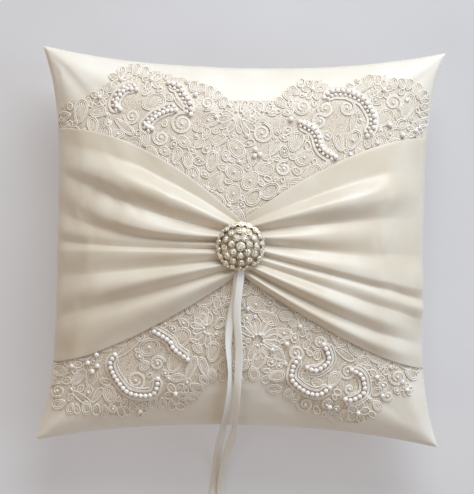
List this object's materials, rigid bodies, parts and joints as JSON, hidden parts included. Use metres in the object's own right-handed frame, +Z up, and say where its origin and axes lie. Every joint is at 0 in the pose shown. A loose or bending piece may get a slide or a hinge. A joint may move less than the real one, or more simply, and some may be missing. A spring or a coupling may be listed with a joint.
{
  "type": "ring bearer pillow",
  "caption": "Square ivory satin ring bearer pillow with corded beaded lace, a gathered satin sash, a rhinestone brooch and two ring ribbons.",
  "frame": {"origin": "middle of the pillow's footprint, on the surface it lies on, measured without the two ribbon tails", "axes": "+Z up, out of the decorated front; +X along the sash; +Y towards the top edge, away from the ribbon tails"},
  "size_m": [0.2546, 0.3118, 0.0825],
  "materials": {
    "satin_ivory": "ivory duchess satin, soft sheen",
    "lace_ivory": "corded and embroidered net lace",
    "ribbon_satin": "narrow double-faced satin ribbon",
    "sewing_thread": "polyester sewing thread",
    "fibrefill": "loose polyester fibrefill",
    "pearl": "imitation pearl",
    "crystal": "foil-backed cut rhinestone",
    "brooch_metal": "plated cast metal, warm silver"
  },
  "bodies": {
    "root": {"cover_front_panel": "satin_ivory", "cover_back_panel": "satin_ivory", "fibrefill_core": "fibrefill", "seam_thread": "sewing_thread", "closing_stitches": "sewing_thread", "satin_sash": "satin_ivory", "lace_upper": "lace_ivory", "lace_lower": "lace_ivory", "sash_gather_thread": "sewing_thread", "lace_upper_pearls": "pearl", "lace_lower_pearls": "pearl", "lace_upper_beads": "crystal", "lace_lower_beads": "crystal", "lace_tacking_thread": "sewing_thread", "ribbon_left_tail": "ribbon_satin", "ribbon_right_tail": "ribbon_satin", "ribbon_anchor_fold": "ribbon_satin", "centre_stone": "crystal", "inner_ring_stones": "crystal", "middle_ring_stones": "crystal", "outer_ring_stones": "crystal", "accent_stones": "crystal", "brooch_back_plate": "brooch_metal", "brooch_dome": "brooch_metal", "centre_setting": "brooch_metal", "inner_ring_settings": "brooch_metal", "middle_ring_settings": "brooch_metal", "outer_ring_settings": "brooch_metal", "accent_settings": "brooch_metal", "brooch_shank": "brooch_metal", "brooch_sewing_thread": "sewing_thread"}
  },
  "joints": []
}
